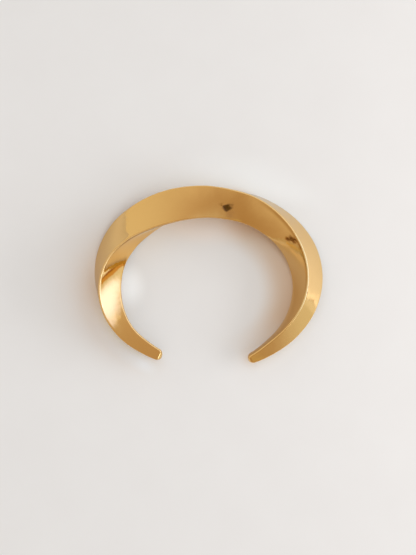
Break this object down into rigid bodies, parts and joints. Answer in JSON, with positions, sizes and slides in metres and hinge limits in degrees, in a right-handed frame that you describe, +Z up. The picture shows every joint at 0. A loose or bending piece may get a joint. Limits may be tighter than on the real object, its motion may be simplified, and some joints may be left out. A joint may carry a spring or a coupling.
{
  "type": "open cuff bangle",
  "caption": "Open bangle in polished yellow gold, a solid bar of triangular section twisted along its length, tapering to blunt rounded tips.",
  "frame": {"origin": "on the resting plane, under the middle of the cuff's bounding box", "axes": "+Z up with the cuff lying on its side, +Y towards the closed back, -Y towards the gap between the tips, +X along the long way across the wrist opening"},
  "size_m": [0.0774, 0.0596, 0.0112],
  "materials": {
    "polished_gold": "high polish yellow gold over solid brass"
  },
  "bodies": {
    "root": {"cuff": "polished_gold"}
  },
  "joints": []
}
